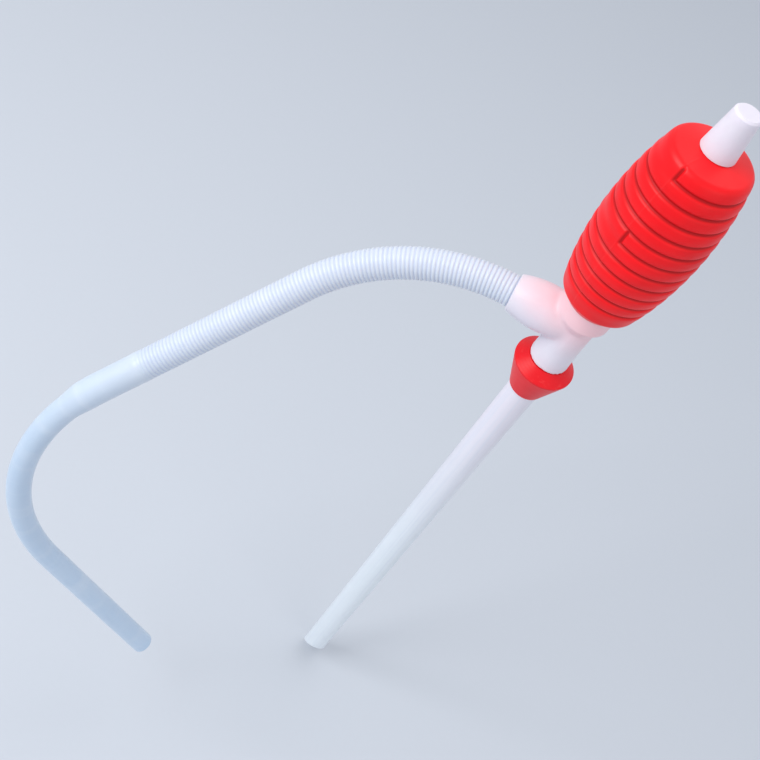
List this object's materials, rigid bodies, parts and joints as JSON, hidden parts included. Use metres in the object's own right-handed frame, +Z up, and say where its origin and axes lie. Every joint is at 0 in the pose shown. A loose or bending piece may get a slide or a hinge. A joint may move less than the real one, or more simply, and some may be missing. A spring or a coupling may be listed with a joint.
{
  "type": "hand siphon pump",
  "caption": "Hand siphon pump: red ribbed squeeze bulb with vent cap on a white tee with check valves, straight pick-up pipe, sliding container adapter and hanging discharge hose.",
  "frame": {"origin": "on the pump's axis where the bare length of the pick-up pipe begins, at the lower face of the container adapter", "axes": "+Z up along the pump's axis towards the vent cap; -X is the side that the branch and its hose leave from"},
  "size_m": [0.2763, 0.1769, 0.6676],
  "materials": {
    "white_plastic": "satin",
    "pipe_plastic": "satin",
    "red_plastic": "gloss",
    "bulb_plastic": "satin",
    "valve_plastic": "satin",
    "seal_rubber": "matte",
    "hose_plastic": "satin"
  },
  "bodies": {
    "pump": {"tee_body": "white_plastic", "pickup_pipe": "pipe_plastic", "inlet_valve_seat": "white_plastic", "inlet_valve_cage": "white_plastic", "outlet_valve_seat": "white_plastic", "outlet_valve_cage": "white_plastic", "squeeze_bulb": "bulb_plastic", "discharge_hose": "hose_plastic"},
    "cap_seal": {"vent_cap_seal": "seal_rubber"},
    "cap": {"vent_cap": "white_plastic"},
    "inlet_disc": {"inlet_valve_disc": "valve_plastic"},
    "outlet_disc": {"outlet_valve_disc": "valve_plastic"},
    "adapter": {"container_adapter": "red_plastic"}
  },
  "joints": [
    {"name": "vent_cap_lift", "type": "slide", "parent": "pump", "child": "cap_seal", "axis": [0, 0, 1], "range_m": [0, 0.0046]},
    {"name": "vent_cap_turn", "type": "hinge", "parent": "cap_seal", "child": "cap", "pos_m": [0, 0, 0.215], "axis": [0, 0, 1], "range_deg": [0, 540]},
    {"name": "inlet_valve_lift", "type": "slide", "parent": "pump", "child": "inlet_disc", "axis": [0, 0, 1], "range_m": [0, 0.0024]},
    {"name": "outlet_valve_lift", "type": "slide", "parent": "pump", "child": "outlet_disc", "axis": [-0.9945, 0, -0.1045], "range_m": [0, 0.0024]},
    {"name": "adapter_slide", "type": "slide", "parent": "pump", "child": "adapter", "axis": [0, 0, -1], "range_m": [0, 0.4]}
  ],
  "couplings": [
    {"joint": "vent_cap_lift", "follows": "vent_cap_turn", "m_per_rad": 0.00047746}
  ]
}
